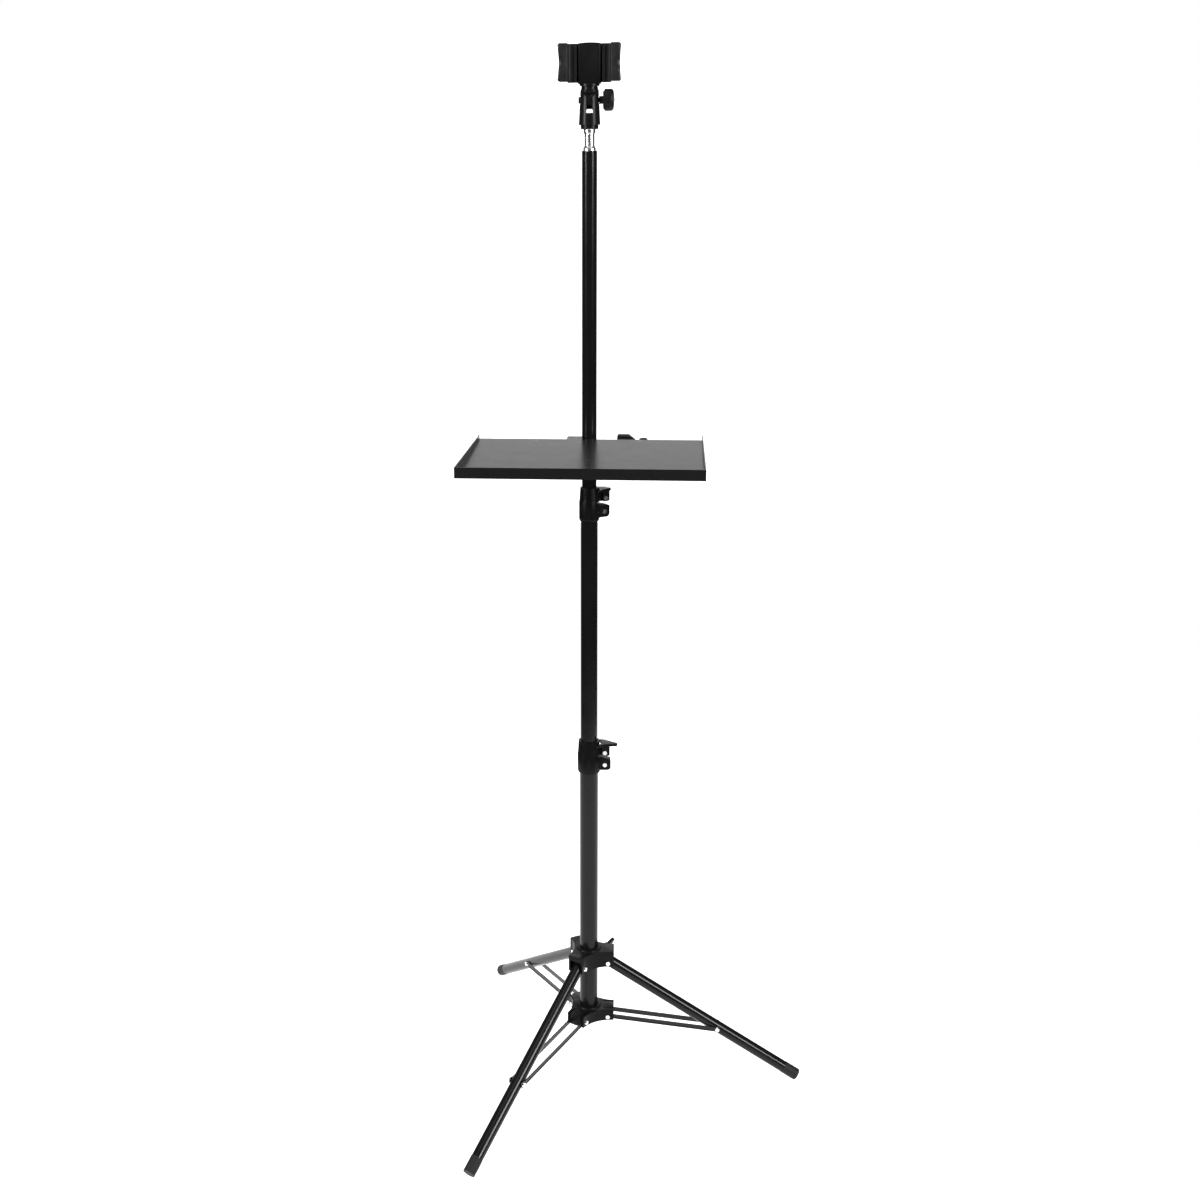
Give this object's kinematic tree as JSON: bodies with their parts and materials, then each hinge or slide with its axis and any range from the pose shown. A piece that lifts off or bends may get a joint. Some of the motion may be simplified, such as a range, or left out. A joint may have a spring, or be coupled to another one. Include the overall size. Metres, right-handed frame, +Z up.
{
  "type": "tripod stand with tray and device clamp",
  "caption": "Black telescoping tripod stand with flip-lock collars, a sheet-metal tray on the column and a spring clamp on a tilting head; its legs fold up against the column.",
  "frame": {"origin": "on the floor, under the middle of the bounding box; the column stands 72.8 mm to the -X side of it", "axes": "+Z up along the column, +X along one leg, and the tray and the clamp face -Y"},
  "size_m": [0.4487, 0.518, 1.4076],
  "materials": {
    "gloss_black_tube": "gloss",
    "black_moulding": "satin",
    "ribbed_knob": "matte",
    "bright_steel": "polished",
    "chromed_stud": "polished",
    "black_strip": "satin",
    "foot_rubber": "matte",
    "charcoal_sheet": "matte",
    "black_casting": "satin",
    "dark_screw": "satin",
    "satin_head": "satin",
    "clamp_plastic": "matte"
  },
  "bodies": {
    "base": {"lower_tube": "gloss_black_tube", "lower_hub": "black_moulding", "lower_hub_bolts": "bright_steel", "lower_collar": "black_moulding", "lower_collar_bolts": "bright_steel"},
    "upper_hub": {"upper_hub": "black_moulding", "upper_hub_bolts": "bright_steel"},
    "hub_knob": {"hub_knob": "black_moulding"},
    "leg_right": {"leg_right": "gloss_black_tube", "foot_right": "foot_rubber"},
    "leg_back": {"leg_back": "gloss_black_tube", "foot_back": "foot_rubber"},
    "leg_front": {"leg_front": "gloss_black_tube", "foot_front": "foot_rubber"},
    "brace_right": {"brace_right": "black_strip", "rivets_right": "bright_steel"},
    "brace_back": {"brace_back": "black_strip", "rivets_back": "bright_steel"},
    "brace_front": {"brace_front": "black_strip", "rivets_front": "bright_steel"},
    "mid_column": {"mid_tube": "gloss_black_tube", "upper_collar": "black_moulding", "upper_collar_bolts": "bright_steel"},
    "lower_lever": {"lower_lever": "black_moulding"},
    "upper_lever": {"upper_lever": "black_moulding"},
    "top_column": {"top_tube": "gloss_black_tube", "stud": "chromed_stud"},
    "tray": {"tray_pan": "charcoal_sheet", "tray_bracket": "black_casting", "tray_screws": "dark_screw"},
    "tray_knob": {"tray_knob": "black_moulding"},
    "head": {"socket": "satin_head", "tilt_bolt": "dark_screw"},
    "tilt_knob": {"tilt_knob": "ribbed_knob"},
    "neck": {"tilt_neck": "satin_head", "clamp_block": "clamp_plastic"},
    "jaw_left": {"jaw_left": "clamp_plastic"},
    "jaw_right": {"jaw_right": "clamp_plastic"}
  },
  "joints": [
    {"name": "fold", "type": "slide", "parent": "base", "child": "upper_hub", "axis": [0, 0, 1], "range_m": [0, 0.25243]},
    {"name": "leg_right_swing", "type": "hinge", "parent": "upper_hub", "child": "leg_right", "pos_m": [-0.04582, 0, 0.17424], "axis": [0, 1, 0], "range_deg": [0, 57.6]},
    {"name": "leg_back_swing", "type": "hinge", "parent": "upper_hub", "child": "leg_back", "pos_m": [-0.08632, 0.02338, 0.17424], "axis": [-0.866, -0.5, 0], "range_deg": [0, 57.6]},
    {"name": "leg_front_swing", "type": "hinge", "parent": "upper_hub", "child": "leg_front", "pos_m": [-0.08632, -0.02338, 0.17424], "axis": [0.866, -0.5, 0], "range_deg": [0, 57.6]},
    {"name": "brace_right_swing", "type": "hinge", "parent": "base", "child": "brace_right", "pos_m": [-0.04582, 0, 0.09264], "axis": [0, -1, 0], "range_deg": [0, 95.72]},
    {"name": "brace_back_swing", "type": "hinge", "parent": "base", "child": "brace_back", "pos_m": [-0.08632, 0.02338, 0.09264], "axis": [0.866, 0.5, 0], "range_deg": [0, 95.72]},
    {"name": "brace_front_swing", "type": "hinge", "parent": "base", "child": "brace_front", "pos_m": [-0.08632, -0.02338, 0.09264], "axis": [-0.866, 0.5, 0], "range_deg": [0, 95.72]},
    {"name": "lower_section", "type": "slide", "parent": "base", "child": "mid_column", "axis": [0, 0, 1], "range_m": [-0.3, 0]},
    {"name": "upper_section", "type": "slide", "parent": "mid_column", "child": "top_column", "axis": [0, 0, 1], "range_m": [-0.34, 0]},
    {"name": "tray_height", "type": "slide", "parent": "mid_column", "child": "tray", "axis": [0, 0, 1], "range_m": [-0.034, 0.33]},
    {"name": "head_turn", "type": "hinge", "parent": "top_column", "child": "head", "pos_m": [-0.07282, 0, 1.30514], "axis": [0, 0, 1], "continuous": true},
    {"name": "head_tilt", "type": "hinge", "parent": "head", "child": "neck", "pos_m": [-0.07282, 0, 1.33984], "axis": [1, 0, 0], "range_deg": [-45, 45]},
    {"name": "jaw_left_slide", "type": "slide", "parent": "neck", "child": "jaw_left", "axis": [-1, 0, 0], "range_m": [0, 0.018], "stiffness_N_per_m": 300, "springref_m": -0.01},
    {"name": "jaw_right_slide", "type": "slide", "parent": "neck", "child": "jaw_right", "axis": [1, 0, 0], "range_m": [0, 0.018], "stiffness_N_per_m": 300, "springref_m": -0.01},
    {"name": "lower_lever_turn", "type": "hinge", "parent": "base", "child": "lower_lever", "pos_m": [-0.05187, 0.00146, 0.48614], "axis": [-0.0698, 0.9976, 0], "range_deg": [0, 90]},
    {"name": "upper_lever_turn", "type": "hinge", "parent": "mid_column", "child": "upper_lever", "pos_m": [-0.05628, 0.01033, 0.83714], "axis": [-0.5299, 0.848, 0], "range_deg": [0, 90]},
    {"name": "hub_knob_turn", "type": "hinge", "parent": "upper_hub", "child": "hub_knob", "pos_m": [-0.04931, 0.03236, 0.17724], "axis": [0.5878, 0.809, 0], "continuous": true},
    {"name": "tray_knob_turn", "type": "hinge", "parent": "tray", "child": "tray_knob", "pos_m": [-0.03283, -0.00091, 0.90714], "axis": [0.9997, -0.0227, 0], "continuous": true},
    {"name": "tilt_knob_turn", "type": "hinge", "parent": "head", "child": "tilt_knob", "pos_m": [-0.05282, 0, 1.33984], "axis": [1, 0, 0], "continuous": true}
  ],
  "couplings": [
    {"joint": "leg_right_swing", "follows": "fold", "rad_per_m": 3.9826},
    {"joint": "leg_back_swing", "follows": "fold", "rad_per_m": 3.9826},
    {"joint": "leg_front_swing", "follows": "fold", "rad_per_m": 3.9826},
    {"joint": "brace_right_swing", "follows": "fold", "rad_per_m": 6.6167},
    {"joint": "brace_back_swing", "follows": "fold", "rad_per_m": 6.6167},
    {"joint": "brace_front_swing", "follows": "fold", "rad_per_m": 6.6167},
    {"joint": "jaw_right_slide", "follows": "jaw_left_slide", "ratio": 1}
  ]
}
